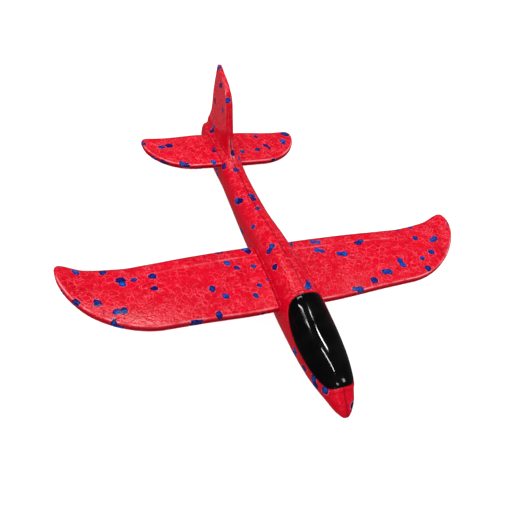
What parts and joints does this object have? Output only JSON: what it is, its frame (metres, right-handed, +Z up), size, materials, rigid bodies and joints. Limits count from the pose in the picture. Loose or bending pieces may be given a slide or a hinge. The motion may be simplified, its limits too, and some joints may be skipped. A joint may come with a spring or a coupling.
{
  "type": "toy airplane",
  "caption": "Hand-launch toy glider in red bead foam with blue beads: body with upright fin, slotted-in wing with upturned tips, slotted-in tailplane, glossy black canopy.",
  "frame": {"origin": "middle of the bounding box at the height of the belly", "axes": "nose towards -Y, wing along X, +Z up"},
  "size_m": [0.351, 0.3412, 0.091],
  "materials": {
    "bead_foam": "moulded bead foam, red with scattered blue beads",
    "black_plastic": "high gloss",
    "steel": "plain turned steel"
  },
  "bodies": {
    "airframe": {"fuselage": "bead_foam", "canopy": "black_plastic", "nose_weight": "steel"},
    "wing": {"wing": "bead_foam"},
    "tailplane": {"tailplane": "bead_foam"}
  },
  "joints": [
    {"name": "wing_slide", "type": "slide", "parent": "airframe", "child": "wing", "axis": [1, 0, 0], "range_m": [-0.008, 0.008]},
    {"name": "tailplane_slide", "type": "slide", "parent": "airframe", "child": "tailplane", "axis": [1, 0, 0], "range_m": [-0.007, 0.007]}
  ]
}
